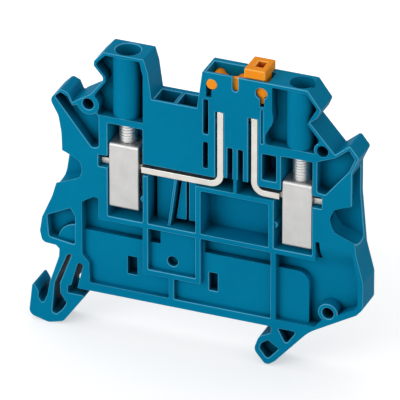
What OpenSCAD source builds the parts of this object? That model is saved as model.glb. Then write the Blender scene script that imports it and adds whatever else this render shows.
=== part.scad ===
// Knife disconnect terminal block with two screw clamps, for a 35 mm top hat rail.
// X runs along the block, Y along the rail and Z up. The origin is the middle of the rail seat.

/* [Housing] */
// Thickness of the block along the rail
block_t = 5.2; // [5.0:0.1:5.8]
// Thickness of the back wall
back_wall = 1.1; // [0.9:0.1:1.3]
// Thickness of the front wall over the knife and the bridge shafts
front_wall = 0.5; // [0.4:0.05:0.7]
// Width of the ribs between the pockets
rib = 0.9; // [0.7:0.1:1.0]
// Height of the deck above the rail seat
deck_z = 44.2; // [43.6:0.2:46]
// Height of the band along the rail seat
seat_band = 1.5; // [1.2:0.1:1.9]
// Depth of the two tower recesses
tower_recess = 2.4; // [1.8:0.1:2.6]
// Depth of the corner pockets under the marker grooves
corner_recess = 2.3; // [1.6:0.1:2.8]
// Depth of the lower pads below the open face
pad_recess = 1.0; // [0.6:0.1:1.4]
// Depth of the channel above the lower pads
channel_recess = 2.3; // [1.8:0.1:2.8]
// Diameter of the locating sockets
socket_d = 2.0; // [1.6:0.1:2.3]
// Depth of the locating sockets
socket_depth = 2.3; // [1.9:0.1:2.4]

/* [Rail foot] */
// Width of the mounting rail over its flanges
rail_w = 35; // [34.6:0.1:35.6]
// Thickness of the rail flanges
rail_flange = 1.0; // [0.8:0.1:1.5]
// Clearance round the rail flanges
rail_play = 0.2; // [0.1:0.05:0.4]
// How far the foot and the hook reach below the rail seat
foot_drop = 7.4; // [7.0:0.1:8.4]
// Width of the spring slots in the foot
spring_slot = 0.8; // [0.6:0.1:1.0]

/* [Bridge shaft] */
// Left side of the bridge valley
valley_left = -2.95; // [-3.2:0.05:-2.6]
// Right side of the bridge valley
valley_right = 4.9; // [4.6:0.05:5.1]
// Floor of the bridge valley
valley_z = 37.3; // [36.6:0.1:38]
// Thickness of the cross rib between the two bridge shafts
shaft_rib = 0.6; // [0.4:0.1:0.9]

/* [Clamps] */
// Place of the left clamp along the block
clamp_left = -7.9; // [-8.3:0.1:-7.7]
// Place of the right clamp along the block
clamp_right = 22.0; // [21.8:0.1:22.6]
// Clearance of the screw head in the screwdriver bore
head_play = 0.3; // [0.2:0.05:0.4]
// Wall of the tube round the screwdriver bore
tube_wall = 0.4; // [0.3:0.05:0.5]
// Height of the collar that holds the screw head above the bars
collar_rise = 8.05; // [7.8:0.05:8.6]
// Thickness of that collar
collar_t = 1.2; // [0.9:0.1:1.6]
// Width of the clamping sleeve along the block
sleeve_w = 5.1; // [4.8:0.1:5.2]
// Height of the clamping sleeve
sleeve_h = 11.7; // [11.4:0.1:11.9]
// Thickness of the clamping sleeve along the rail
sleeve_t = 4.1; // [3.9:0.05:4.2]
// Thickness of the sleeve's side walls
sleeve_wall = 0.55; // [0.45:0.05:0.6]
// Thickness of the threaded cap of the sleeve
sleeve_cap = 1.0; // [0.8:0.1:1.2]
// Thickness of the pressing base of the sleeve
sleeve_base = 2.2; // [1.6:0.1:2.4]
// How far the sleeve reaches below the bars at its lowest place
sleeve_drop = 8.15; // [7.9:0.05:8.3]
// How far the left sleeve stands above its lowest place
left_rise = 0.9; // [0:0.1:1.6]
// Distance from the open face to the sleeve's folded strip
sleeve_inset = 0.45; // [0.35:0.05:0.55]
// Thickness of the lap that closes the sleeve at the front
sleeve_lap = 0.2; // [0.1:0.05:0.25]
// Clearance behind the sleeve
sleeve_play = 0.1; // [0.05:0.05:0.2]
// Diameter of the clamping screw
screw_d = 3.0; // [2.6:0.1:3.1]
// Diameter of the screw head
head_d = 3.9; // [3.7:0.1:4.0]
// Height of the screw head
head_h = 2.2; // [1.8:0.1:2.8]
// Width of the slot in the screw head
drive_w = 0.7; // [0.5:0.1:0.9]
// Depth of the slot in the screw head
drive_depth = 1.1; // [0.8:0.1:1.4]
// Radial clearance of the screw in its sleeve
thread_play = 0.05; // [0.03:0.01:0.08]
// Diameter of the wire entry
wire_d = 3.2; // [2.6:0.1:3.3]
// Gap between the wire entry and the bar above it
wire_gap = 0.25; // [0.15:0.05:0.4]
// Radius of the left wire funnel behind its chamfer
left_mouth = 2.9; // [2.6:0.1:3.1]
// Radius of the right wire funnel behind its chamfer
right_mouth = 3.2; // [2.9:0.1:3.4]
// How fast the wire funnels widen per millimetre
funnel_rate = 0.3; // [0.24:0.01:0.34]

/* [Current bars] */
// Thickness of the current bars
bar_t = 1.1; // [0.9:0.1:1.2]
// Underside of the horizontal legs
bar_z = 23.45; // [23.4:0.05:23.7]
// Distance from the open face to the bars
bar_inset = 0.25; // [0.15:0.05:0.4]
// Width of the bars where they pass through a sleeve
neck_w = 2.7; // [2.2:0.1:2.8]
// Inner radius of the bends
bend_r = 1.2; // [0.9:0.1:1.5]
// Left face of the left upright leg
leg_left = 8.25; // [8.1:0.05:8.4]
// Left face of the right upright leg
leg_right = 14.1; // [14.0:0.05:14.3]
// Depth of the tops of the upright legs below the deck
leg_drop = 7.0; // [6.6:0.1:7.3]
// Clearance round the bars in the housing
bar_play = 0.12; // [0.08:0.02:0.2]

/* [Knife and lever] */
// Place of the lever's pivot along the block
pivot_x = 7.4; // [7.3:0.05:7.5]
// Depth of the pivot below the deck
pivot_drop = 2.1; // [2.0:0.05:2.2]
// Diameter of the pivot pin
pin_d = 1.9; // [1.7:0.05:2.0]
// Radial clearance of the pivot pin
pin_play = 0.05; // [0.03:0.01:0.08]
// Distance from the pivot to the latch bump
latch_reach = 8.5; // [8.4:0.05:8.6]
// Clearance beside the lever
lever_play = 0.2; // [0.15:0.05:0.3]
// Width of the lever head along the block
lever_head_w = 3.6; // [3.4:0.1:3.9]
// Height of the lever head above the deck
lever_head_h = 1.6; // [1.2:0.1:2.4]
// Overhang of the lever head past the latch bump
lever_head_out = 0.55; // [0.4:0.05:0.7]
// Radius of the lever's round cheek
cheek_r = 2.7; // [2.4:0.1:2.9]
// Depth of the lever's arm below the pivot
arm_drop = 2.6; // [2.4:0.1:2.8]
// Side of the square pocket in the lever head
head_pocket = 1.4; // [1.2:0.1:1.5]
// Distance from the faces of the block to the lever head
lever_head_inset = 0.25; // [0.15:0.05:0.5]
// Thickness of each leaf of the knife
leaf_t = 0.7; // [0.6:0.05:0.75]
// Gap between the two leaves of the knife
leaf_gap = 0.9; // [0.8:0.05:1.0]
// Clearance between the leaves and the bars
leaf_play = 0.05; // [0.03:0.01:0.08]

/* [Hidden] */
$fn = 48;
over = 0.5;
corner_steps = 5;

// Planes across the thickness
y_front = -block_t / 2;
y_back = block_t / 2;
floor_y = y_back - back_wall;
inner_y = y_front + front_wall;
deep = floor_y - y_front;
clamp_y = y_front + sleeve_inset + sleeve_t / 2;
clamp_floor_y = clamp_y + sleeve_t / 2 + sleeve_play;

// Short names for the places that the profiles hang from
xl = clamp_left;
xr = clamp_right;
zt = deck_z;
rail_l = -rail_w / 2;
rail_r = rail_w / 2;
foot_z = -foot_drop;
flange_z = -rail_flange - rail_play;

// Clamp chambers
shaft_d = head_d + head_play;
collar_z = bar_z + collar_rise;
collar_top = collar_z + collar_t;
collar_play = 0.15;
sleeve_low = bar_z - sleeve_drop;
chamber_room = 0.8;
chamber_floor = sleeve_low - chamber_room;
shelf_z = chamber_floor - rib;
side_gap = 0.15;
left_room = 3.4;
right_room = 3.9;
left_chamber = [xl - sleeve_w / 2 - side_gap, xl + left_room];
right_chamber = [xr - right_room, xr + sleeve_w / 2 + side_gap];
wire_r = wire_d / 2;
wire_z = bar_z - wire_gap - wire_r;
left_land = 3.6;
right_land = 2.2;
left_lift = 0.5;
funnel_length = rail_w / 4;
tip_reach = 4.2;
neck_run = 0.5;

// Upright ribs and steps between the lower pads
split_left = xl + left_room;
split_mid = 4.6;
split_right = xr - 4.4;
foot_rib = 0;
pad_end = xr + 1.9;
step_z = 5.2;
channel_z = shelf_z - 2.9;
pocket_recess = 2.0;
slot_recess = 3.0;
groove_recess = 0.3;
hook_recess = 2.0;
slit_recess = 2.0;

// Bars and knife
bar_top = bar_z + bar_t;
bar_front = y_front + bar_inset;
bar_back = floor_y - bar_play;
bar_room = 0.3;
left_leg_gap = 0.25;
right_leg_gap = 0.45;
panel_rise = 0.75;
panel_z = bar_top + panel_rise;
leg_top = zt - leg_drop;
lever_y = (inner_y + floor_y) / 2;
lever_t = floor_y - inner_y - 2 * lever_play;
knife_t = 2 * leaf_t + leaf_gap;
knife_reach = 1.1;
knife_low = leg_top - knife_reach;
knife_drop = 3.0;
knife_top = zt - knife_drop;
slot_room = 0.3;
slot_end = knife_low - slot_room;
tongue_room = 0.6;
tongue_top = knife_top - leaf_t - tongue_room;

// Lever and its pocket
pivot_z = zt - pivot_drop;
pin_r = pin_d / 2;
latch_x = pivot_x + latch_reach;
pocket_room = 0.5;
pocket_chamfer = 1.0;
pocket_left = pivot_x - pin_r - 2 * pin_play;
pocket_right = latch_x + lever_head_out + pocket_room;
pocket_floor = knife_low - slot_room + pin_play;
lever_head_x = latch_x + lever_head_out - lever_head_w;
lever_head_right = latch_x + lever_head_out;
lever_head_gap = 0.15;
lever_head_z = zt + lever_head_gap;
lever_front = lever_y - lever_t / 2;
back_pin = 0.65;
tab_x = (pivot_x + latch_x) / 2 - 0.2;
tab_half = 0.6;
tab_notch = 0.5;

// Upper left lip to lower left nose, going down the left side
left_side = [
    [xl - 3.3, zt, 0.4], [xl - 4.95, zt - 1.9, 0.3], [xl - 5.0, zt - 2.7, 0.3],
    [xl - 3.45, zt - 4.5, 0.4], [xl - 3.4, zt - 5.2, 0.4], [xl - 5.5, zt - 8.0, 0.3],
    [xl - 8.0, zt - 9.6, 0.3], [xl - 8.7, zt - 10.2, 0.2], [xl - 9.4, zt - 8.6, 0.4],
    [xl - 10.7, zt - 8.1, 0.6], [xl - 12.7, zt - 10.2, 1.2], [xl - 11.2, zt - 13.0, 2.5],
    [xl - 10.7, wire_z + 6.6, 3.0], [xl - 10.6, wire_z + 3.7, 0.4], [xl - 11.5, wire_z - 2.3, 0.4],
    [xl - 12.4, 16.2, 3.0], [xl - 14.2, 12.0, 1.6], [xl - 14.6, 9.4, 1.2], [xl - 14.2, 7.4, 1.0],
    [xl - 11.8, 7.25, 0.4], [rail_l - 1.6, 6.7, 0.4]
];

// Spring foot, from its neck round the release notch and the hook to the seat
spring_foot = [
    [rail_l - 1.7, 5.2, 0.6], [rail_l - 3.3, 0.3, 3.0], [rail_l - 3.8, foot_z + 5.0, 0.6],
    [rail_l - 4.6, foot_z + 3.1, 0.6], [rail_l - 5.4, foot_z + 4.3, 0.4],
    [rail_l - 5.3, foot_z + 5.3, 0.3], [rail_l - 6.4, foot_z + 7.2, 0.3],
    [rail_l - 6.7, foot_z + 4.3, 1.0], [rail_l - 7.1, foot_z + 0.9, 1.2],
    [rail_l - 3.6, foot_z, 1.4], [rail_l - 1.0, foot_z + 0.7, 1.4], [rail_l + 2.9, flange_z, 0.3],
    [rail_l - rail_play, flange_z, 0.15], [rail_l - rail_play, 0.1, 0.1], [rail_l + 0.4, 0.35, 0.2],
    [rail_l + 1.5, 4.4, 0.3], [rail_l + 1.95, 4.85, 0.3], [rail_l + 2.55, 4.45, 0.3],
    [rail_l + 1.5, 0, 0.2]
];

// Fixed hook on the right, then up the right side to the deck
right_side = [
    [rail_r + rail_play, 0, 0.15], [rail_r + rail_play, flange_z, 0.3],
    [rail_r - 1.9, flange_z - 1.1, 1.4], [rail_r - 2.8, foot_z + 2.6, 1.4],
    [rail_r - 0.6, foot_z, 0.9], [rail_r + 0.9, foot_z + 1.1, 1.0], [rail_r + 6.7, 0.3, 9],
    [xr + 10.4, 5.1, 1.5], [xr + 11.5, 6.4, 1.2], [xr + 11.5, 11.2, 2.0],
    [xr + 10.2, 16.2, 3.0], [xr + 9.4, wire_z + 3.8, 1.0], [xr + 9.4, zt - 13.2, 2.0],
    [xr + 10.6, zt - 10.5, 0.6], [xr + 9.0, zt - 8.5, 0.4], [xr + 6.5, zt - 10.6, 0.2],
    [xr + 2.2, zt - 5.7, 0.1], [xr + 3.5, zt - 4.6, 0.15], [xr + 4.1, zt - 3.1, 0.4],
    [xr + 1.8, zt, 0.3]
];

// Bridge valley, from the lever block to the left tower
valley = [
    [pivot_x - 1.6, zt, 0.3], [valley_right, valley_z, 0.05], [valley_left, valley_z, 0.05],
    [valley_left - 0.65, zt - 2.2, 2.0], [valley_left - 1.3, zt, 0.3]
];

outline_points = concat(left_side, spring_foot, right_side, valley);

// Locating bosses: place, and radius of the wall round the socket
bosses = [
    [xl - 6.0, zt - 9.9, 1.9], [xr + 4.4, zt - 10.4, 1.5], [xr + 5.5, 4.5, 1.7]
];
plain_socket = [0.3, 7.85, 0.9];

// Corner rounding: an arc that touches both sides, no longer than either side allows
function flat(p) = [p[0], p[1]];
function toward(a, b) = (flat(b) - flat(a)) / norm(flat(b) - flat(a));
function room(a, b) = 0.48 * norm(flat(b) - flat(a));
function turn(a) = a > 180 ? a - 360 : (a < -180 ? a + 360 : a);
function arc_points(centre, from, to) =
    let (
        r = norm(from - centre),
        start = atan2(from.y - centre.y, from.x - centre.x),
        sweep = turn(atan2(to.y - centre.y, to.x - centre.x) - start)
    )
    [for (i = [0 : corner_steps])
        centre + r * [cos(start + sweep * i / corner_steps), sin(start + sweep * i / corner_steps)]];
function corner(a, p, b) =
    let (
        u = toward(p, a),
        v = toward(p, b),
        half = acos(min(1, max(-1, u * v))) / 2,
        wish = p[2] / tan(half),
        reach = min(wish, room(p, a), room(p, b)),
        radius = reach * tan(half)
    )
    reach < 0.01 || half > 89.5 ? [flat(p)] :
    arc_points(flat(p) + (u + v) / norm(u + v) * radius / sin(half), flat(p) + u * reach, flat(p) + v * reach);
function rounded(points) =
    let (n = len(points))
    [for (i = [0 : n - 1]) each corner(points[(i + n - 1) % n], points[i], points[(i + 1) % n])];

// A profile in the XZ plane, filled between two planes across the thickness
module slab(from_y, to_y) {
    translate([0, to_y, 0]) rotate([90, 0, 0]) linear_extrude(to_y - from_y) children();
}

// A recess cut from the open face
module recess(depth) {
    slab(y_front - over, y_front + depth) children();
}

module shape(points) {
    polygon(rounded(points));
}

module window(x0, x1, z0, z1, r = 0.15) {
    shape([[x0, z0, r], [x1, z0, r], [x1, z1, r], [x0, z1, r]]);
}

// A round bar along the rail
module cross_pin(x, z, r, from_y, to_y) {
    translate([x, to_y, z]) rotate([90, 0, 0]) cylinder(h = to_y - from_y, r = r);
}

// Recess of the left tower beside its tube
module left_tower_profile() {
    shape([
        [xl - 3.0, zt - 0.5, 0.2], [xl - 4.5, zt - 2.1, 0.2], [xl - 4.55, zt - 2.6, 0.2],
        [xl - 3.0, zt - 4.35, 0.3], [xl - 2.95, zt - 5.3, 0.3], [xl - 4.9, zt - 8.0, 0.2],
        [xl - 4.3, collar_top, 0.2], [xl + 3.5, collar_top, 0.2], [xl + 3.5, zt - 3.0, 0.6], [xl + 2.9, zt - 0.5, 0.2]
    ]);
}

module right_tower_profile() {
    shape([
        [pocket_right + 0.75, zt - 0.6, 0.3], [pocket_right + 0.75, zt - 4.7, 1.0],
        [pocket_right + 0.95, zt - 6.2, 1.0], [pocket_right + 0.8, collar_top + 4.2, 1.0],
        [pocket_right - 0.35, collar_top + 2.2, 1.2], [pocket_right - 0.4, collar_top + 0.4, 0.6],
        [xr + 3.4, collar_top + 0.4, 0.3], [xr + 3.6, collar_top + 1.9, 0.3], [xr + 3.8, collar_top + 3.0, 0.3],
        [xr + 1.75, zt - 6.0, 0.2], [xr + 2.8, zt - 4.1, 0.3], [xr + 3.4, zt - 3.0, 0.3],
        [xr + 1.5, zt - 0.6, 0.2]
    ]);
}

// Three sided pockets in the corners under the marker grooves
module left_corner_profile() {
    shape([
        [xl - 11.8, zt - 9.6, 0.3], [xl - 10.8, zt - 8.7, 0.3], [xl - 9.6, zt - 9.2, 0.3],
        [xl - 8.75, zt - 10.75, 0.2], [xl - 7.7, zt - 10.3, 0.1], [xl - 6.5, zt - 11.3, 0.1],
        [xl - 4.9, zt - 11.2, 0.1], [xl - 4.2, collar_top - 0.3, 0.3],
        [xl - 4.2, zt - 17.5, 0.5], [xl - 5.4, zt - 17.7, 0.5]
    ]);
}

module right_corner_profile() {
    shape([
        [xr + 3.5, collar_top - 1.0, 0.3], [xr + 3.5, zt - 18.0, 0.4], [xr + 4.9, zt - 18.2, 0.5],
        [xr + 8.9, zt - 13.2, 0.4], [xr + 9.9, zt - 10.8, 0.3], [xr + 8.9, zt - 9.3, 0.3],
        [xr + 6.5, zt - 11.2, 0.3]
    ]);
}

// Passage of one bar: its horizontal leg and bend, then the upright leg
module bar_passage(leg_x, far_x, leg_gap) {
    window(min(leg_x, far_x), max(leg_x + bar_t, far_x), bar_z - bar_room, panel_z, 0.1);
    window(leg_x - leg_gap, leg_x + bar_t + bar_play, bar_z - bar_room, leg_top + bar_play, 0.1);
}

// Comb of slots between the two upright legs
module comb_profile() {
    comb_shift = 0.28;
    middle = (leg_left + leg_right + bar_t) / 2 - comb_shift;
    slot_w = 0.9;
    slot_out = 0.9;
    low_w = 2.1;
    low_out = 1.3;
    low_rise = 2.2;
    for (side = [-1, 1]) {
        slot_x = middle + side * slot_out;
        window(slot_x - slot_w / 2, slot_x + slot_w / 2, bar_z + bar_room, collar_z - bar_room);
        low_x = middle + side * low_out;
        window(low_x - low_w / 2, low_x + low_w / 2, bar_z - bar_room, bar_z + low_rise);
    }
}

// Lower pads and the channel above them, split by the upright ribs
module pad_profile() {
    shape([
        [xl - 7.2, 6.5, 0.4], [xl - 7.2, 16.2, 0.3], [xl - 5.2, 17.5, 0.3], [xl - 4.3, 17.4, 0.2],
        [xl - 4.3, shelf_z, 0.2], [split_left, shelf_z, 0.2], [split_left, step_z, 0.2], [foot_rib, step_z, 0.2],
        [foot_rib, seat_band, 0.2], [rail_l + 3.7, seat_band, 0.3], [rail_l + 3.6, step_z, 0.4]
    ]);
    window(split_left + rib, split_mid, step_z + rib, shelf_z);
    shape([
        [foot_rib + rib, seat_band, 0.2], [split_right, seat_band, 0.2], [split_right, shelf_z, 0.2],
        [split_mid + rib, shelf_z, 0.2], [split_mid + rib, step_z, 0.2], [foot_rib + rib, step_z, 0.2]
    ]);
    window(split_right + rib, xr + 3.2, seat_band, shelf_z);
}

module channel_profile() {
    channel_step = 0.3;
    shape([
        [xl - 7.2, channel_z, 0.1], [xl - 7.2, 16.2, 0.3], [xl - 5.2, 17.5, 0.3], [xl - 4.3, 17.4, 0.2],
        [xl - 4.3, shelf_z, 0.2], [split_left, shelf_z, 0.2], [split_left, channel_z, 0.1]
    ]);
    window(split_left + rib, xl + 6.1, channel_z, shelf_z);
    window(split_mid + rib + channel_step, split_right, channel_z, shelf_z);
}

// Soft dip round the right pad: its floor rises to the open face along a smooth wave
module soft_dip() {
    wave_low = 11.5;
    wave_high = 17.0;
    wave_steps = 12;
    wave = [for (i = [0 : wave_steps])
        [y_front + channel_recess * (1 + cos(180 * i / wave_steps)) / 2,
         wave_low + (wave_high - wave_low) * i / wave_steps]];
    intersection() {
        recess(deep) shape([
            [split_right + rib, channel_z, 0.1], [pad_end, channel_z, 2.0], [pad_end, seat_band, 0.1],
            [xr + 3.2, seat_band, 0.15], [xr + 4.6, 3.1, 0.3], [xr + 7.4, 4.6, 0.4], [xr + 10.0, 6.0, 1.2],
            [xr + 10.6, 7.0, 0.8], [xr + 10.6, 11.2, 1.6], [xr + 9.4, wave_high, 1.0],
            [xr + 3.3, wave_high, 0.1], [xr + 3.3, shelf_z, 0.1], [split_right + rib, shelf_z, 0.1]
        ]);
        translate([split_right, 0, 0]) rotate([90, 0, 90]) linear_extrude(xr + 12 - split_right) polygon(concat(
            [[y_front - over, 0], [y_front + channel_recess, 0]], wave, [[y_front - over, wave_high]]
        ));
    }
}

// Side pocket of the left shoulder, with a raised quarter disc in its corner
module shoulder_pocket() {
    module region() shape([
        [xl - 13.3, 12.5, 0.4], [xl - 9.2, 14.6, 0.3], [xl - 8.4, 13.2, 0.3], [xl - 8.5, 8.0, 0.3],
        [xl - 13.0, 8.6, 0.5]
    ]);
    disc_r = 3.5;
    disc_recess = 0.9;
    difference() {
        recess(pocket_recess) region();
        slab(y_front + disc_recess, y_back) translate([xl - 8.3, 7.8]) circle(r = disc_r);
    }
}

// Flared mouth of one wire entry: a chamfer and a cone that open outwards and leave the back wall standing
module wire_funnel(x, outward, mouth, lift) {
    chamfer = mouth - wire_r;
    intersection() {
        translate([x, clamp_y, wire_z + lift]) rotate([0, outward * 90, 0]) rotate_extrude() polygon([
            [0, 0], [wire_r, 0], [mouth, chamfer], [mouth + funnel_length * funnel_rate, chamfer + funnel_length],
            [0, chamfer + funnel_length]
        ]);
        slab(y_front - over, floor_y) translate([x - rail_w, 0]) square([2 * rail_w, zt]);
    }
}

// Wire bore from the funnel into the clamp chamber, and the notch for the tip of the bar
module wire_entry(clamp_x, chamber_side, outward, land, mouth, lift) {
    throat = chamber_side + outward * land;
    inside = chamber_side - outward * over;
    tip_x = clamp_x + outward * (tip_reach + bar_play);
    translate([inside, clamp_y, wire_z]) rotate([0, outward * 90, 0])
        cylinder(h = land + over + mouth - wire_r, r = wire_r);
    wire_funnel(throat, outward, mouth, lift);
    recess(clamp_y + neck_w / 2 + bar_play - y_front)
        window(min(inside, tip_x), max(inside, tip_x), bar_z - bar_play, bar_top + rib);
}

// Slot in the end face between the front wall and the back wall
module end_slot(x, outward) {
    depth = 6;
    slab(inner_y, floor_y)
        window(min(x, x + outward * depth), max(x, x + outward * depth), wire_z + 3.2, zt - 13.9, 0.4);
}

// Keyhole in the front wall over the lever, with a springy tail
module keyhole(x, tail_left, tail_right) {
    slab(y_front - over, inner_y + over) window(tail_left, tail_right, pivot_z - 2.4, pivot_z, 0.1);
    cross_pin(x, pivot_z, pin_r + pin_play, y_front - over, inner_y + over);
}

module deck_openings() {
    for (x = [xl, xr])
        translate([x, clamp_y, collar_top]) cylinder(h = zt - collar_top + over, d = shaft_d);
    for (x = [xl, xr])
        translate([x, clamp_y, collar_z - over]) cylinder(h = collar_t + 2 * over, d = screw_d + 2 * collar_play);
    slab(inner_y, floor_y) polygon([
        [pocket_left, pocket_floor], [pocket_right - pocket_chamfer, pocket_floor],
        [pocket_right, pocket_floor + pocket_chamfer], [pocket_right, zt + over], [pocket_left, zt + over]
    ]);
    shaft_mid = (valley_left + valley_right) / 2;
    shaft_lip = 0.3;
    shaft_w = shaft_mid - shaft_rib / 2 - valley_left - shaft_lip;
    slab(inner_y, floor_y)
        for (x = [valley_left + shaft_lip, shaft_mid + shaft_rib / 2])
            translate([x, panel_z - over]) square([shaft_w, valley_z - panel_z + 2 * over]);
    slab(y_front - over, inner_y + over)
        window(tab_x - tab_notch, tab_x + tab_notch, pivot_z - tab_notch, zt + over, 0.45);
    keyhole(pivot_x, pivot_x - pin_r - pin_play, pivot_x);
    keyhole(latch_x, latch_x - 0.25, latch_x + 0.5);
    cross_pin(pivot_x, pivot_z, pin_r + pin_play, floor_y - over, floor_y + back_pin + 0.05);
}

// Recesses of the open face above the seat
module face_recesses() {
    recess(tower_recess) left_tower_profile();
    recess(tower_recess) right_tower_profile();
    recess(corner_recess) left_corner_profile();
    recess(corner_recess) right_corner_profile();
    slab(y_front - over, clamp_floor_y) {
        window(left_chamber[0], left_chamber[1], chamber_floor, collar_z, 0.2);
        window(right_chamber[0], right_chamber[1], chamber_floor, panel_z, 0.2);
        window(right_chamber[0] + 1.2, right_chamber[1], chamber_floor, collar_z, 0.2);
    }
    recess(deep) {
        bar_passage(leg_left, xl, left_leg_gap);
        bar_passage(leg_right, xr, right_leg_gap);
        comb_profile();
        window(split_left + rib, split_mid, chamber_floor, bar_z);
        window(split_mid + rib, right_chamber[0] - rib, chamber_floor, bar_z - bar_t);
        window(leg_left - 2.35, leg_left - 1.45, collar_z - 4.8, collar_z, 0.3);
        window(leg_right + 1.95, leg_right + 4.4, collar_z - 4.9, collar_z - 0.2, 0.2);
    }
    recess(pocket_recess) window(leg_left - 2.3, leg_left - 1.4, collar_top + 0.2, zt - 5.0, 0.3);
    recess(groove_recess) window(leg_right + 1.75, leg_right + 2.15, collar_top + 0.4, zt - 5.0, 0.15);
    recess(pad_recess) pad_profile();
    recess(channel_recess) channel_profile();
    recess(slot_recess) {
        window(xl + 0.35, xl + 2.05, 4.0, 7.3);
        window(6.6, 8.1, 3.9, 7.2);
    }
    recess(slit_recess) window(xr + 3.3, xr + 4.0, shelf_z, 17.2);
    soft_dip();
    shoulder_pocket();
}

// Spring slot and pockets of the feet
module foot_openings() {
    slab(y_front - over, y_back + over) shape([
        [rail_l + 0.6, 6.1, 0.35], [rail_l + 0.6 - spring_slot, 5.9, 0.35],
        [rail_l - 1.7 - spring_slot, 0.2, 1.0], [rail_l - 2.2 - spring_slot, foot_z + 2.0, 0.4],
        [rail_l - 2.2, foot_z + 1.8, 0.4], [rail_l - 1.2, foot_z + 2.8, 0.4],
        [rail_l - 0.4, foot_z + 4.2, 0.6], [rail_l - 1.5, foot_z + 5.9, 0.5], [rail_l - 1.6, 0.2, 1.0]
    ]);
    recess(hook_recess) shape([
        [rail_r - 1.5, flange_z - 2.3, 0.5], [rail_r - 0.3, flange_z - 1.4, 0.5],
        [rail_r + 1.6, foot_z + 3.5, 0.3], [rail_r - 0.4, foot_z + 1.2, 0.5],
        [rail_r - 1.8, foot_z + 3.0, 0.5]
    ]);
    recess(hook_recess) shape([
        [rail_r + 1.4, -0.1, 0.2], [rail_r + 4.6, -0.1, 0.3], [rail_r + 2.8, foot_z + 4.6, 0.4]
    ]);
}

// Slanted rib of the middle pocket, the raised floor on its left and the split block on its right
module middle_ribs() {
    low = chamber_floor - 0.1;
    high = bar_z - 0.1;
    rib_low = -0.5;
    rib_high = 0.7;
    rib_w = 0.45;
    gap = 0.5;
    floor_left = split_left + rib + 0.6;
    block_z = chamber_floor + 1.0;
    block_left = rib_low + rib_w + gap + (rib_high - rib_low) * (block_z - low) / (high - low);
    groove = [2.4, 2.8];
    slab(y_front + 0.8, floor_y + 0.1)
        polygon([[rib_high, high], [rib_high + rib_w, high], [rib_low + rib_w, low], [rib_low, low]]);
    slab(y_front + 2.5, floor_y + 0.1)
        polygon([[floor_left, low], [rib_low + rib_w / 2, low], [rib_high + rib_w / 2, high], [floor_left, high]]);
    slab(y_front + 1.8, floor_y + 0.1) {
        polygon([[block_left, block_z], [groove[0], block_z], [groove[0], high], [rib_high + rib_w + gap, high]]);
        translate([groove[1], block_z]) square([split_mid + 0.1 - groove[1], high - block_z]);
    }
}

// What stands up again inside the recesses
module standing_features() {
    intersection() {
        union() {
            for (x = [xl, xr])
                translate([x, clamp_y, collar_top - 0.1])
                    cylinder(h = zt - collar_top + 0.1, d = shaft_d + 2 * tube_wall);
            for (b = bosses)
                cross_pin(b[0], b[1], b[2], y_front, floor_y + 0.1);
        }
        slab(y_front, y_back) shape(outline_points);
    }
    middle_ribs();
    for (x = [left_chamber[1], right_chamber[0]])
        cross_pin(x, chamber_floor + 4.1, 0.55, y_front + 0.4, clamp_floor_y + 0.1);
}

module housing() color([0.0, 0.47, 0.63]) difference() {
    union() {
        difference() {
            slab(y_front, y_back) shape(outline_points);
            face_recesses();
            foot_openings();
        }
        standing_features();
    }
    deck_openings();
    wire_entry(xl, left_chamber[0], -1, left_land, left_mouth, left_lift);
    wire_entry(xr, right_chamber[1], 1, right_land, right_mouth, 0);
    end_slot(xl - 9.4, -1);
    end_slot(xr + 8.2, 1);
    for (b = bosses)
        cross_pin(b[0], b[1], socket_d / 2, y_front - over, y_front + socket_depth);
    cross_pin(plain_socket[0], plain_socket[1], plain_socket[2], y_front, y_front + socket_depth);
}

// Rectangular sleeve: a folded strip seen along the block, with a threaded hole in its cap
module clamp_sleeve(x, z) color([0.8, 0.8, 0.78]) difference() {
    translate([x - sleeve_w / 2, clamp_y, z]) rotate([90, 0, 90]) linear_extrude(sleeve_w) difference() {
        window(-sleeve_t / 2 - sleeve_lap, sleeve_t / 2, 0, sleeve_h, 0.5);
        window(-sleeve_t / 2 + sleeve_wall, sleeve_t / 2 - sleeve_wall, sleeve_base, sleeve_h - sleeve_cap, 0.25);
    }
    translate([x, clamp_y, z + sleeve_base]) cylinder(h = sleeve_h, r = screw_d / 2 + thread_play);
}

module left_clamp_sleeve() clamp_sleeve(xl, sleeve_low + left_rise);

module right_clamp_sleeve() clamp_sleeve(xr, sleeve_low);

// Captive screw: a slotted head on the collar, and a shank whose tip stands on the bar
module clamp_screw(x) color([0.82, 0.82, 0.8]) {
    head_z = collar_top + thread_play;
    tip_z = bar_top + sleeve_play;
    chamfer = 0.3;
    translate([x, clamp_y, 0]) difference() {
        rotate_extrude() polygon([
            [0, tip_z], [screw_d / 2 - chamfer, tip_z], [screw_d / 2, tip_z + chamfer], [screw_d / 2, head_z],
            [head_d / 2, head_z], [head_d / 2, head_z + head_h - chamfer], [head_d / 2 - chamfer, head_z + head_h],
            [0, head_z + head_h]
        ]);
        translate([-head_d, -drive_w / 2, head_z + head_h - drive_depth])
            cube([2 * head_d, drive_w, drive_depth + over]);
    }
}

module left_clamp_screw() clamp_screw(xl);

module right_clamp_screw() clamp_screw(xr);

// Bent strip seen from the open face: horizontal leg, round bend, upright leg and contact tongue
module bar_profile(leg_x, far_x, top) {
    side = far_x < leg_x ? -1 : 1;
    bend_x = side < 0 ? leg_x - bend_r : leg_x + bar_t + bend_r;
    bend_z = bar_top + bend_r;
    translate([min(bend_x, far_x), bar_z]) square([abs(far_x - bend_x), bar_t]);
    translate([leg_x, bend_z]) square([bar_t, top - bend_z]);
    intersection() {
        translate([bend_x, bend_z]) difference() {
            circle(r = bend_r + bar_t);
            circle(r = bend_r);
        }
        translate([side < 0 ? bend_x : bend_x - bend_r - bar_t, bar_z]) square(bend_r + bar_t);
    }
}

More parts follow.
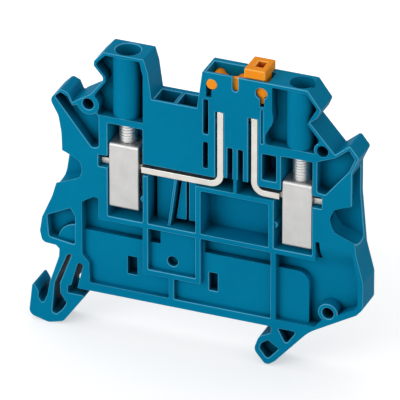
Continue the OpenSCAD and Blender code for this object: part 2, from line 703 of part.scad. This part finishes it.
module current_bar(leg_x, clamp_x, outward) color([0.86, 0.84, 0.8]) {
    far_x = clamp_x + outward * tip_reach;
    neck_end = clamp_x - outward * (sleeve_w / 2 + neck_run);
    neck_l = sleeve_w + 2 * tip_reach;
    neck_back = clamp_y + neck_w / 2;
    neck_front = clamp_y - neck_w / 2;
    tongue = leaf_gap / 2 - leaf_play;
    leaf_out = knife_t / 2 + leaf_play;
    difference() {
        slab(bar_front, bar_back) bar_profile(leg_x, far_x, tongue_top);
        slab(y_front - over, lever_y - tongue)
            translate([leg_x - over, leg_top]) square([bar_t + 2 * over, tongue_top]);
        slab(lever_y + tongue, y_back)
            translate([leg_x - over, leg_top]) square([bar_t + 2 * over, tongue_top]);
        for (side = [-1, 1])
            slab(min(lever_y + side * tongue, lever_y + side * leaf_out),
                 max(lever_y + side * tongue, lever_y + side * leaf_out))
                translate([leg_x - over, slot_end]) square([bar_t + 2 * over, tongue_top]);
        slab(y_front - over, neck_front)
            translate([min(neck_end, neck_end + outward * neck_l), bar_z - over]) square([neck_l, bar_t + 2 * over]);
        slab(neck_back, y_back)
            translate([min(neck_end, neck_end + outward * neck_l), bar_z - over]) square([neck_l, bar_t + 2 * over]);
    }
}

module left_current_bar() current_bar(leg_left, xl, -1);

module right_current_bar() current_bar(leg_right, xr, 1);

// Side view of the lever: pivot eye, arm, round cheek over the knife and neck under the head
module lever_profile() {
    arm_z = pivot_z - arm_drop;
    neck_left = lever_head_x + lever_play;
    neck_right = lever_head_right - lever_play;
    neck_top = lever_head_z + lever_play;
    translate([pivot_x, pivot_z]) circle(r = pin_r);
    shape([
        [pivot_x, pivot_z + 0.9 * pin_r, 0.3], [pivot_x + 1.7 * pin_r, pivot_z + 0.1 * pin_r, 0.5],
        [neck_left, pivot_z + 0.1 * pin_r, 0.3], [neck_left, neck_top, 0], [neck_right, neck_top, 0],
        [neck_right, pivot_z - 2.1 * pin_r, 0.3], [neck_right - 1.4 * pin_r, arm_z, 0.6],
        [pivot_x + 2.3 * pin_r, arm_z, 0.6], [pivot_x, pivot_z - pin_r, 0.4]
    ]);
    translate([lever_head_x - 2 * lever_play, arm_z + 0.4 * cheek_r]) circle(r = cheek_r);
}

// Lever: eye with its cross pin, channel for the knife, and a finger head with a square pocket
module disconnect_lever() color([0.98, 0.58, 0.1]) difference() {
    grip = 0.02;
    latch_proud = lever_play / 2;
    head_top = lever_head_z + lever_head_h;
    pocket_shift = 0.15;
    union() {
        slab(lever_front, lever_y + lever_t / 2) lever_profile();
        slab(y_front + lever_head_inset, y_back - lever_head_inset)
            window(lever_head_x, lever_head_right, lever_head_z, head_top, 0.2);
        cross_pin(pivot_x, pivot_z, pin_r, y_front + pin_play, floor_y + back_pin);
        cross_pin(latch_x, pivot_z, pin_r, lever_front - latch_proud, lever_y);
        slab(lever_front, lever_front + tab_half)
            window(tab_x - tab_half, tab_x + tab_half, pivot_z - tab_half, zt - 2 * lever_play, 0.2);
    }
    slab(lever_y - knife_t / 2 - grip, lever_y + knife_t / 2 + grip)
        translate([pivot_x, knife_low]) square([latch_reach + lever_head_w, knife_top + grip - knife_low]);
    translate([(lever_head_x + lever_head_right - head_pocket) / 2 + pocket_shift, lever_y - 0.4 * head_pocket,
               head_top - head_pocket])
        cube([head_pocket, 1.4 * head_pocket, head_pocket + over]);
}

// Knife: one strip folded into two leaves that grip the tongues of both bars
module knife_blade() color([0.84, 0.82, 0.78]) difference() {
    knife_left = pivot_x + pin_r / 2;
    knife_right = latch_x - pin_r / 4;
    slab(lever_y - knife_t / 2, lever_y + knife_t / 2) shape([
        [knife_left, knife_low, 0.8], [knife_right, knife_low, 2.5], [knife_right, knife_top, 0.2],
        [knife_left, knife_top, 0.2]
    ]);
    slab(lever_y - leaf_gap / 2, lever_y + leaf_gap / 2)
        translate([knife_left - over, knife_low - over])
            square([knife_right - knife_left + 2 * over, knife_top - leaf_t - knife_low + over]);
}

housing();
left_clamp_sleeve();
right_clamp_sleeve();
left_clamp_screw();
right_clamp_screw();
left_current_bar();
right_current_bar();
disconnect_lever();
knife_blade();
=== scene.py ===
import math

import bmesh
import bpy
import numpy as np
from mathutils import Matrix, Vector


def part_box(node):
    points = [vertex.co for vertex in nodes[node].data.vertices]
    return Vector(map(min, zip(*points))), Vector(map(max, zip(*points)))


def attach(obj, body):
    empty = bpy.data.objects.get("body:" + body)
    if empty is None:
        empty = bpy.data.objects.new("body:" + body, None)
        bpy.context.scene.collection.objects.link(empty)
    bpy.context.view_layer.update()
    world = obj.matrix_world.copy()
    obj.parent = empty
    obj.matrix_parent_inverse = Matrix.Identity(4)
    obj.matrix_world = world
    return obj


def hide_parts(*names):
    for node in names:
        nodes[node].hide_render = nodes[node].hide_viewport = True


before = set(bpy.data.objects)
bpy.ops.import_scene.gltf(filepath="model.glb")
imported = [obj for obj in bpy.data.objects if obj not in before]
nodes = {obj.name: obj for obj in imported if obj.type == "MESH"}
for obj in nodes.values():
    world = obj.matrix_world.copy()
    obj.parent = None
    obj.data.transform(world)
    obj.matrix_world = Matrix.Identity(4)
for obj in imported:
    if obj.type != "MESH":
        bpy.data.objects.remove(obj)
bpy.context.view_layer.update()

# Rounding of the outer edges: widths in metres, steps across, and the slot of the rounded faces' material, a
# painted highlight on the plastics
MM = 0.001
HOUSING_EDGE = 0.12 * MM
LEVER_EDGE = 0.18 * MM
SLEEVE_EDGE = 0.14 * MM
STRIP_EDGE = 0.08 * MM
SCREW_EDGE = 0.06 * MM
EDGE_SEGMENTS = 2
EDGE_SLOT = 1

# Faces: bends that count as sharp, as flat and as a corner in a rim, and how near points count as one
SHARP_ANGLE = math.radians(32)
FLAT_ANGLE = math.radians(0.3)
CORNER_ANGLE = math.radians(40)
MERGE_DISTANCE = 0.002 * MM

# Faces: how upright the normal of a level face is, and how much large faces lead the shading
LEVEL_SHARE = 0.99
FACE_WEIGHT = 90

# Room for a rounding: share of the way to a rounded or a plain border, and where on an edge it is taken
ROUNDED_SHARE = 0.45
PLAIN_SHARE = 0.9
EDGE_PARTS = (0.02, 0.5, 0.98)
SHARPEST_TURN = 3.0
SHORTEST_EDGE = 1e-9

# Screw thread: radius at its crest and in its groove, pitch and half widths
THREAD_CREST = 1.5 * MM
THREAD_ROOT = 1.34 * MM
THREAD_PITCH = 0.5 * MM
CREST_HALF = 0.05 * MM
ROOT_HALF = 0.2 * MM

# Screw thread: how deep its foot is sunk, how far it stays from tip and head, and the turns of its run-out
RIDGE_SINK = 0.05 * MM
TIP_CLEAR = 0.5 * MM
HEAD_CLEAR = 3.7 * MM
RUN_OUT_TURNS = 0.5
STEPS_PER_TURN = 36
RIDGE_SIDES = 4

# Noise: the span of its values that is used, and how finely it is broken up
NOISE_LOW = 0.3
NOISE_HIGH = 0.7
DRIFT_LOW = 0.35
DRIFT_HIGH = 0.65
FINE_DETAIL = 2.0
CLOUD_DETAIL = 3.0

# Relief of the plastic's grain and of the metal's lines, and how far they change the roughness
GRAIN_STRENGTH = 0.25
GRAIN_DEPTH = 0.004 * MM
GRAIN_GLOSS = 0.05
LINE_STRENGTH = 0.2
LINE_SMOOTHER = 0.06
LINE_ROUGHER = 0.08

# Painted shade in hollows: how far round a spot its walls count, and the open share at which it is dark or
# clear
HOLLOW_REACH = 4.0 * MM
HOLLOW_DARK = 0.15
HOLLOW_CLEAR = 0.6
HOLLOW_SAMPLES = 8

# Floor: height, size and tone, and how much it is lifted towards white near the block and far off
FLOOR_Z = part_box("housing")[0].z
FLOOR_HALF = 3.0
FLOOR_TONE = 0.7
FLOOR_ROUGHNESS = 0.9
NEAR_LIFT = 0.5
FAR_LIFT = 0.65
NEAR_REACH = 0.03
FAR_REACH = 0.08

# Surroundings: their share of the light
AMBIENT = 0.5

# Camera: where it stands, seen from the middle of the block, and its lens
VIEW_AZIMUTH = math.radians(21.9)
VIEW_ELEVATION = math.radians(28.9)
VIEW_DISTANCE = 1.427
VIEW_TARGET = Vector((4.4, 0.0, 19.2)) * MM
LENS_MM = 800
SENSOR_MM = 36
NEAREST_SEEN = 0.01
FARTHEST_SEEN = 20.0

WHITE = (1.0, 1.0, 1.0, 1.0)


# Materials

def node_group(name, inputs, outputs):
    """An empty shader node group with value inputs (name, default) and value outputs (name)."""
    group = bpy.data.node_groups.new(name, "ShaderNodeTree")
    for label, default in inputs:
        socket = group.interface.new_socket(label, in_out="INPUT", socket_type="NodeSocketFloat")
        socket.default_value = default
    for label in outputs:
        group.interface.new_socket(label, in_out="OUTPUT", socket_type="NodeSocketFloat")
    return group, group.nodes.new("NodeGroupInput"), group.nodes.new("NodeGroupOutput")


def make_moulded_grain():
    """Moulded plastic: a fine even grain for the height, and a broad faint drift for the tone."""
    group, given, result = node_group(
        "moulded_grain",
        [("Grain Scale", 9000.0), ("Drift Scale", 120.0)],
        ["Grain", "Drift"],
    )
    place = group.nodes.new("ShaderNodeTexCoord")
    for label, detail in (("Grain", FINE_DETAIL), ("Drift", CLOUD_DETAIL)):
        noise = group.nodes.new("ShaderNodeTexNoise")
        noise.inputs["Detail"].default_value = detail
        group.links.new(place.outputs["Object"], noise.inputs["Vector"])
        group.links.new(given.outputs[label + " Scale"], noise.inputs["Scale"])
        group.links.new(noise.outputs["Fac"], result.inputs[label])
    return group


def make_drawn_lines():
    """Rolled metal: noise stretched upwards into fine parallel lines, and a soft cloud for the tone."""
    group, given, result = node_group(
        "drawn_lines",
        [("Across", 9000.0), ("Along", 350.0), ("Cloud Scale", 420.0)],
        ["Lines", "Cloud"],
    )
    place = group.nodes.new("ShaderNodeTexCoord")
    stretch = group.nodes.new("ShaderNodeCombineXYZ")
    group.links.new(given.outputs["Across"], stretch.inputs["X"])
    group.links.new(given.outputs["Across"], stretch.inputs["Y"])
    group.links.new(given.outputs["Along"], stretch.inputs["Z"])
    scaled = group.nodes.new("ShaderNodeVectorMath")
    scaled.operation = "MULTIPLY"
    group.links.new(place.outputs["Object"], scaled.inputs[0])
    group.links.new(stretch.outputs["Vector"], scaled.inputs[1])
    lines = group.nodes.new("ShaderNodeTexNoise")
    lines.inputs["Scale"].default_value = 1.0
    lines.inputs["Detail"].default_value = FINE_DETAIL
    group.links.new(scaled.outputs["Vector"], lines.inputs["Vector"])
    group.links.new(lines.outputs["Fac"], result.inputs["Lines"])
    cloud = group.nodes.new("ShaderNodeTexNoise")
    cloud.inputs["Detail"].default_value = CLOUD_DETAIL
    group.links.new(given.outputs["Cloud Scale"], cloud.inputs["Scale"])
    group.links.new(place.outputs["Object"], cloud.inputs["Vector"])
    group.links.new(cloud.outputs["Fac"], result.inputs["Cloud"])
    return group


MOULDED_GRAIN = make_moulded_grain()
DRAWN_LINES = make_drawn_lines()


def blank_material(name):
    """A material with a Principled shader alone; returns the material, its nodes, links and shader."""
    material = bpy.data.materials.new(name)
    material.use_nodes = True
    tree = material.node_tree
    return material, tree.nodes, tree.links, tree.nodes["Principled BSDF"]


def tone_ramp(tree_nodes, links, source, low_tone, high_tone, low_at, high_at):
    """Colour between two tones, as the source value goes from low_at to high_at."""
    ramp = tree_nodes.new("ShaderNodeValToRGB")
    low_stop, high_stop = ramp.color_ramp.elements
    low_stop.position = low_at
    low_stop.color = (*low_tone, 1.0)
    high_stop.position = high_at
    high_stop.color = (*high_tone, 1.0)
    links.new(source, ramp.inputs["Fac"])
    return ramp.outputs["Color"]


def value_between(tree_nodes, links, source, low, high):
    """A value between low and high, as the source goes through the span of noise that is used."""
    span = tree_nodes.new("ShaderNodeMapRange")
    span.inputs["From Min"].default_value = NOISE_LOW
    span.inputs["From Max"].default_value = NOISE_HIGH
    span.inputs["To Min"].default_value = low
    span.inputs["To Max"].default_value = high
    links.new(source, span.inputs["Value"])
    return span.outputs["Result"]


def add_bump(tree_nodes, links, shader, height, strength, distance):
    """Fine relief from a height value."""
    bump = tree_nodes.new("ShaderNodeBump")
    bump.inputs["Strength"].default_value = strength
    bump.inputs["Distance"].default_value = distance
    links.new(height, bump.inputs["Height"])
    links.new(bump.outputs["Normal"], shader.inputs["Normal"])


def painted_hollow_shade(tree_nodes, links, colour, shade_tone):
    """Painted shade: the colour, drawn towards a dark shade tone where the surface lies down in a narrow
    slot or corner.
    """
    hollow = tree_nodes.new("ShaderNodeAmbientOcclusion")
    hollow.samples = HOLLOW_SAMPLES
    hollow.only_local = True
    hollow.inputs["Distance"].default_value = HOLLOW_REACH
    open_share = tree_nodes.new("ShaderNodeMapRange")
    open_share.inputs["From Min"].default_value = HOLLOW_DARK
    open_share.inputs["From Max"].default_value = HOLLOW_CLEAR
    links.new(hollow.outputs["AO"], open_share.inputs["Value"])
    blend = tree_nodes.new("ShaderNodeMix")
    blend.data_type = "RGBA"
    links.new(open_share.outputs["Result"], blend.inputs["Factor"])
    blend.inputs["A"].default_value = (*shade_tone, 1.0)
    links.new(colour, blend.inputs["B"])
    return blend.outputs["Result"]


def moulded_plastic(name, low_tone, high_tone, shade_tone, roughness, gloss):
    """Satin moulded plastic with a faint drift of tone, a fine grain and painted shade in its slots."""
    material, tree_nodes, links, shader = blank_material(name)
    pattern = tree_nodes.new("ShaderNodeGroup")
    pattern.node_tree = MOULDED_GRAIN
    grain = pattern.outputs["Grain"]
    drift = pattern.outputs["Drift"]
    colour = tone_ramp(tree_nodes, links, drift, low_tone, high_tone, DRIFT_LOW, DRIFT_HIGH)
    links.new(painted_hollow_shade(tree_nodes, links, colour, shade_tone), shader.inputs["Base Color"])
    dullness = value_between(tree_nodes, links, grain, roughness - GRAIN_GLOSS, roughness + GRAIN_GLOSS)
    links.new(dullness, shader.inputs["Roughness"])
    add_bump(tree_nodes, links, shader, grain, GRAIN_STRENGTH, GRAIN_DEPTH)
    shader.inputs["Specular IOR Level"].default_value = gloss
    return material


def plated_metal(name, low_tone, high_tone, roughness, line_depth):
    """Plated sheet metal: drawn lines in the gloss and the relief, a soft cloud in the tone."""
    material, tree_nodes, links, shader = blank_material(name)
    pattern = tree_nodes.new("ShaderNodeGroup")
    pattern.node_tree = DRAWN_LINES
    lines = pattern.outputs["Lines"]
    cloud = pattern.outputs["Cloud"]
    colour = tone_ramp(tree_nodes, links, cloud, low_tone, high_tone, NOISE_LOW, NOISE_HIGH)
    links.new(colour, shader.inputs["Base Color"])
    dullness = value_between(tree_nodes, links, lines, roughness - LINE_SMOOTHER, roughness + LINE_ROUGHER)
    links.new(dullness, shader.inputs["Roughness"])
    add_bump(tree_nodes, links, shader, lines, LINE_STRENGTH, line_depth)
    shader.inputs["Metallic"].default_value = 1.0
    return material


# The darkest tone of each plastic below is painted shade for its slots and corners
BLUE_NYLON = moulded_plastic(
    "blue_nylon",
    low_tone=(0.0, 0.188, 0.345),
    high_tone=(0.0, 0.206, 0.368),
    shade_tone=(0.0, 0.028, 0.054),
    roughness=0.5,
    gloss=0.02,
)
# Painted highlight: a lighter blue on the rounded edges, standing in for the light they catch
BLUE_EDGE_HIGHLIGHT = moulded_plastic(
    "blue_nylon_edge_highlight",
    low_tone=(0.035, 0.33, 0.54),
    high_tone=(0.045, 0.37, 0.59),
    shade_tone=(0.0, 0.04, 0.08),
    roughness=0.4,
    gloss=0.4,
)
ORANGE_NYLON = moulded_plastic(
    "orange_nylon",
    low_tone=(0.91, 0.275, 0.011),
    high_tone=(0.97, 0.315, 0.016),
    shade_tone=(0.55, 0.10, 0.0),
    roughness=0.45,
    gloss=0.04,
)
# Painted highlight: a lighter orange on the rounded edges, standing in for the light they catch
ORANGE_EDGE_HIGHLIGHT = moulded_plastic(
    "orange_nylon_edge_highlight",
    low_tone=(0.97, 0.42, 0.06),
    high_tone=(1.0, 0.46, 0.08),
    shade_tone=(0.6, 0.14, 0.0),
    roughness=0.4,
    gloss=0.2,
)
PLATED_STEEL = plated_metal(
    "plated_steel",
    low_tone=(0.47, 0.465, 0.455),
    high_tone=(0.53, 0.525, 0.515),
    roughness=0.48,
    line_depth=0.003 * MM,
)
SCREW_STEEL = plated_metal(
    "screw_steel",
    low_tone=(0.62, 0.615, 0.605),
    high_tone=(0.70, 0.695, 0.685),
    roughness=0.45,
    line_depth=0.001 * MM,
)
TINNED_COPPER = plated_metal(
    "tinned_copper",
    low_tone=(0.56, 0.54, 0.50),
    high_tone=(0.64, 0.62, 0.58),
    roughness=0.40,
    line_depth=0.002 * MM,
)


# Pieces

def free_way(place, along, inward, starts, aheads, shares):
    """How far the way from a place on an edge straight into the face is free before it meets a border.

    Seen from the place, a border starts at a side along the edge and a depth into the face, and runs
    ahead by its own side and depth. The way meets it where its side is nought. The depth there counts
    by its share.
    """
    gaps = starts - place
    with np.errstate(divide="ignore", invalid="ignore"):
        crossing = -(gaps @ along) / (aheads @ along)
        depth = gaps @ inward + crossing * (aheads @ inward)
    met = (crossing >= 0.0) & (crossing <= 1.0) & (depth > 0.0)
    return np.min(depth[met] * shares[met], initial=np.inf)


def room_in_face(face, rounded):
    """How far each rounded edge of a flat face can be cut back into it, by edge.

    The way inwards is followed from both ends and the middle of the edge. Next to a corner, the way along
    a plain neighbour and the length that is left between two rounded neighbours count as well.
    """
    corners = list(face.loops)
    count = len(corners)
    start = np.array([corner.vert.co for corner in corners])
    ahead = np.roll(start, -1, axis=0) - start
    length = np.maximum(np.linalg.norm(ahead, axis=1), SHORTEST_EDGE)
    along = ahead / length[:, None]
    inward = np.cross(np.array(face.normal), along)
    following = np.roll(along, -1, axis=0)
    turn = np.arccos(np.clip(np.sum(along * following, axis=1), -1.0, 1.0))
    turn *= np.sign(np.sum(inward * following, axis=1))
    is_rounded = np.array([corner.edge in rounded for corner in corners])
    share = np.where(is_rounded, ROUNDED_SHARE, PLAIN_SHARE)
    room = {}
    for index in np.flatnonzero(is_rounded):
        before = (index - 1) % count
        after = (index + 1) % count
        others = np.ones(count, dtype=bool)
        others[[before, index, after]] = False
        borders = (start[others], ahead[others], share[others])
        free = min(
            free_way(start[index] + part * ahead[index], along[index], inward[index], *borders)
            for part in EDGE_PARTS
        )
        lost = 0.0
        for neighbour, bend in ((before, turn[before]), (after, turn[index])):
            if is_rounded[neighbour]:
                lost += math.tan(min(bend, SHARPEST_TURN) / 2.0)
            elif bend > math.pi / 2.0:
                free = min(free, length[neighbour] * math.sin(bend) * PLAIN_SHARE)
        if lost > 0.0:
            free = min(free, length[index] / lost * PLAIN_SHARE)
        room[corners[index].edge] = free
    return room


def runs_on(border, other, corner):
    """Whether one edge runs on into the other past their common point, without a corner."""
    way_out = corner.co - border.other_vert(corner).co
    way_on = other.other_vert(corner).co - corner.co
    return way_out.angle(way_on) < CORNER_ANGLE


def even_along(rounded, roundness):
    """Rounded edges that run on from each other take the smallest rounding among them.

    A chain grows at its end while it is walked, until nothing more runs on from any of its edges.
    """
    waiting = set(rounded)
    while waiting:
        chain = [waiting.pop()]
        for border in chain:
            for corner in border.verts:
                for other in corner.link_edges:
                    if other in waiting and runs_on(border, other, corner):
                        waiting.remove(other)
                        chain.append(other)
        least = min(border[roundness] for border in chain)
        for border in chain:
            border[roundness] = least


def marked_mesh(node, edge):
    """The solid of a node with whole flat faces, and with its edges marked for shading and rounding.

    Level faces are cut into triangles again, so that the rim of a hole in them finds room. An edge is
    rounded where its two faces turn away from each other by more than the sharp angle, as far as they leave
    room; inner corners stay crisp.
    """
    mesh = nodes[node].data.copy()
    mesh.materials.clear()
    shape = bmesh.new()
    shape.from_mesh(mesh)
    bmesh.ops.remove_doubles(shape, verts=shape.verts, dist=MERGE_DISTANCE)
    bmesh.ops.dissolve_limit(
        shape,
        angle_limit=FLAT_ANGLE,
        use_dissolve_boundaries=False,
        verts=shape.verts,
        edges=shape.edges,
    )
    level = [face for face in shape.faces if face.normal.z > LEVEL_SHARE]
    bmesh.ops.triangulate(shape, faces=level, quad_method="BEAUTY", ngon_method="BEAUTY")
    roundness = shape.edges.layers.float.new("bevel_weight_edge")
    rounded = set()
    for border in shape.edges:
        bend = border.calc_face_angle_signed(0.0)
        border.smooth = abs(bend) < SHARP_ANGLE
        if bend > SHARP_ANGLE:
            rounded.add(border)
            border[roundness] = 1.0
    for face in shape.faces:
        face.smooth = True
        for border, room in room_in_face(face, rounded).items():
            border[roundness] = min(border[roundness], room / edge)
    even_along(rounded, roundness)
    shape.to_mesh(mesh)
    shape.free()
    return mesh


def softened(node, name, body, material, edge_material, edge):
    """The solid of a node with its outer edges rounded and its flat faces evenly shaded."""
    mesh = marked_mesh(node, edge)
    mesh.materials.append(material)
    mesh.materials.append(edge_material)
    piece = bpy.data.objects.new(name, mesh)
    bpy.context.scene.collection.objects.link(piece)
    bevel = piece.modifiers.new("rounded_edges", "BEVEL")
    bevel.width = edge
    bevel.segments = EDGE_SEGMENTS
    bevel.limit_method = "WEIGHT"
    bevel.use_clamp_overlap = False
    bevel.loop_slide = False
    # The rounded faces take the edge material, a lighter painted highlight on the plastics
    bevel.material = EDGE_SLOT
    even = piece.modifiers.new("even_faces", "WEIGHTED_NORMAL")
    even.keep_sharp = True
    even.weight = FACE_WEIGHT
    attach(piece, body)
    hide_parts(node)
    return piece


def thread_ridge(name, axis, low, high):
    """A screw thread: a four sided ridge swept along a helix.

    With turn t from nought to the number of turns, its middle lies at the angle 2 pi t round the axis and
    at the height low + pitch t. The ridge is wide at the groove and narrow at the crest, and the crest sinks
    into the groove over the run-out at both ends.
    """
    turns = (high - low) / THREAD_PITCH
    steps = int(turns * STEPS_PER_TURN) + 1
    turn = np.linspace(0.0, turns, steps)[:, None]
    fade = np.clip(np.minimum(turn, turns - turn) / RUN_OUT_TURNS, 0.0, 1.0)
    inner = np.full_like(turn, THREAD_ROOT - RIDGE_SINK)
    outer = THREAD_ROOT + (THREAD_CREST - THREAD_ROOT) * fade
    radius = np.hstack([inner, outer, outer, inner])
    rise = np.array([[-ROOT_HALF, -CREST_HALF, CREST_HALF, ROOT_HALF]])
    angle = 2.0 * np.pi * turn
    across = axis[0] + radius * np.cos(angle)
    along = axis[1] + radius * np.sin(angle)
    height = low + THREAD_PITCH * turn + rise
    points = np.stack([across, along, height], axis=-1).reshape(-1, 3)
    row = np.arange(steps - 1)[:, None] * RIDGE_SIDES
    side = np.arange(RIDGE_SIDES)[None, :]
    here = row + side
    beside = row + (side + 1) % RIDGE_SIDES
    faces = np.stack([here, here + RIDGE_SIDES, beside + RIDGE_SIDES, beside], axis=-1).reshape(-1, 4)
    last = (steps - 1) * RIDGE_SIDES
    ends = [(0, 1, 2, 3), (last + 3, last + 2, last + 1, last)]
    mesh = bpy.data.meshes.new(name)
    mesh.from_pydata(points.tolist(), [], faces.tolist() + ends)
    mesh.materials.append(SCREW_STEEL)
    piece = bpy.data.objects.new(name, mesh)
    bpy.context.scene.collection.objects.link(piece)
    return piece


def threaded_screw(side):
    """A clamping screw: the node's solid, its shank turned down to the groove, and the thread round it."""
    node = side + "_clamp_screw"
    body = side + "_screw"
    low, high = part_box(node)
    axis = np.array([(low.x + high.x) / 2.0, (low.y + high.y) / 2.0])
    core = softened(node, side + "_screw_core", body, SCREW_STEEL, SCREW_STEEL, SCREW_EDGE)
    points = np.empty(len(core.data.vertices) * 3, dtype=np.float32)
    core.data.vertices.foreach_get("co", points)
    points = points.reshape(-1, 3)
    offset = points[:, :2] - axis
    shank = np.hypot(offset[:, 0], offset[:, 1]) < THREAD_CREST + MERGE_DISTANCE
    points[shank, :2] = axis + offset[shank] * (THREAD_ROOT / THREAD_CREST)
    core.data.vertices.foreach_set("co", points.ravel())
    core.data.update()
    ridge = thread_ridge(side + "_screw_thread", axis, low.z + TIP_CLEAR, high.z - HEAD_CLEAR)
    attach(ridge, body)


def metal_strip(node, name, body):
    """A bent strip of tinned copper."""
    softened(node, name, body, TINNED_COPPER, TINNED_COPPER, STRIP_EDGE)


def clamp_sleeve(side):
    """A folded steel sleeve of a screw clamp."""
    softened(
        side + "_clamp_sleeve",
        side + "_sleeve_folding",
        side + "_sleeve",
        PLATED_STEEL,
        PLATED_STEEL,
        SLEEVE_EDGE,
    )


softened("housing", "housing_moulding", "base", BLUE_NYLON, BLUE_EDGE_HIGHLIGHT, HOUSING_EDGE)
softened(
    "disconnect_lever",
    "lever_moulding",
    "lever",
    ORANGE_NYLON,
    ORANGE_EDGE_HIGHLIGHT,
    LEVER_EDGE,
)
for side in ("left", "right"):
    clamp_sleeve(side)
    metal_strip(side + "_current_bar", side + "_bar_strip", "base")
    threaded_screw(side)
metal_strip("knife_blade", "knife_strip", "lever")


# Stage, light and camera

def seen_directly(tree_nodes, links):
    """One for rays from the camera, a mirror or a glass, and nought for rays that only carry light."""
    path = tree_nodes.new("ShaderNodeLightPath")
    mirrored = tree_nodes.new("ShaderNodeMath")
    mirrored.operation = "MAXIMUM"
    links.new(path.outputs["Is Glossy Ray"], mirrored.inputs[0])
    links.new(path.outputs["Is Transmission Ray"], mirrored.inputs[1])
    either = tree_nodes.new("ShaderNodeMath")
    either.operation = "MAXIMUM"
    links.new(path.outputs["Is Camera Ray"], either.inputs[0])
    links.new(mirrored.outputs["Value"], either.inputs[1])
    return either.outputs["Value"]


def floor_white():
    """Pale floor finish, lifted towards white where it is seen directly, more so away from the block."""
    material, tree_nodes, links, shader = blank_material("floor_white")
    shader.inputs["Base Color"].default_value = (FLOOR_TONE, FLOOR_TONE, FLOOR_TONE, 1.0)
    shader.inputs["Roughness"].default_value = FLOOR_ROUGHNESS
    shader.inputs["Specular IOR Level"].default_value = 0.0
    shader.inputs["Emission Color"].default_value = WHITE
    place = tree_nodes.new("ShaderNodeTexCoord")
    distance = tree_nodes.new("ShaderNodeVectorMath")
    distance.operation = "LENGTH"
    links.new(place.outputs["Object"], distance.inputs[0])
    lift = tree_nodes.new("ShaderNodeMapRange")
    lift.inputs["From Min"].default_value = NEAR_REACH
    lift.inputs["From Max"].default_value = FAR_REACH
    lift.inputs["To Min"].default_value = NEAR_LIFT
    lift.inputs["To Max"].default_value = FAR_LIFT
    links.new(distance.outputs["Value"], lift.inputs["Value"])
    level = tree_nodes.new("ShaderNodeMath")
    level.operation = "MULTIPLY"
    links.new(seen_directly(tree_nodes, links), level.inputs[0])
    links.new(lift.outputs["Result"], level.inputs[1])
    links.new(level.outputs["Value"], shader.inputs["Emission Strength"])
    return material


def make_floor():
    """A wide flat square at the height of the feet, which keeps the block's shadow."""
    corners = [
        (-FLOOR_HALF, -FLOOR_HALF, FLOOR_Z),
        (FLOOR_HALF, -FLOOR_HALF, FLOOR_Z),
        (FLOOR_HALF, FLOOR_HALF, FLOOR_Z),
        (-FLOOR_HALF, FLOOR_HALF, FLOOR_Z),
    ]
    mesh = bpy.data.meshes.new("floor")
    mesh.from_pydata(corners, [], [(0, 1, 2, 3)])
    mesh.materials.append(floor_white())
    floor = bpy.data.objects.new("floor", mesh)
    bpy.context.scene.collection.objects.link(floor)


def make_world():
    """Even light grey surroundings, which show white where they are seen directly."""
    world = bpy.data.worlds.new("studio")
    bpy.context.scene.world = world
    world.use_nodes = True
    tree = world.node_tree
    background = tree.nodes["Background"]
    background.inputs["Color"].default_value = WHITE
    level = tree.nodes.new("ShaderNodeMapRange")
    level.inputs["To Min"].default_value = AMBIENT
    level.inputs["To Max"].default_value = 1.0
    tree.links.new(seen_directly(tree.nodes, tree.links), level.inputs["Value"])
    tree.links.new(level.outputs["Result"], background.inputs["Strength"])


def add_lamp(name, place, size, power):
    """A square soft lamp that looks at the block."""
    lamp = bpy.data.lights.new(name, "AREA")
    lamp.size = size
    lamp.energy = power
    lamp_object = bpy.data.objects.new(name, lamp)
    lamp_object.location = place
    lamp_object.rotation_mode = "QUATERNION"
    lamp_object.rotation_quaternion = (VIEW_TARGET - Vector(place)).to_track_quat("-Z", "Y")
    bpy.context.scene.collection.objects.link(lamp_object)


def make_camera():
    """A long lens that stands back from the block along the view's azimuth and elevation."""
    back = Vector((
        math.sin(VIEW_AZIMUTH) * math.cos(VIEW_ELEVATION),
        -math.cos(VIEW_AZIMUTH) * math.cos(VIEW_ELEVATION),
        math.sin(VIEW_ELEVATION),
    ))
    lens = bpy.data.cameras.new("camera")
    lens.lens = LENS_MM
    lens.sensor_width = SENSOR_MM
    lens.clip_start = NEAREST_SEEN
    lens.clip_end = FARTHEST_SEEN
    camera = bpy.data.objects.new("camera", lens)
    camera.location = VIEW_TARGET + back * VIEW_DISTANCE
    camera.rotation_mode = "QUATERNION"
    camera.rotation_quaternion = (-back).to_track_quat("-Z", "Y")
    bpy.context.scene.collection.objects.link(camera)
    bpy.context.scene.camera = camera


make_floor()
make_world()
add_lamp("key", place=(-0.16, -0.26, 0.12), size=0.22, power=0.5)
add_lamp("fill", place=(0.5, -0.3, 0.3), size=0.5, power=0.45)
add_lamp("top", place=(-0.08, 0.10, 0.45), size=0.35, power=0.35)
make_camera()
bpy.context.scene.view_settings.view_transform = "Standard"
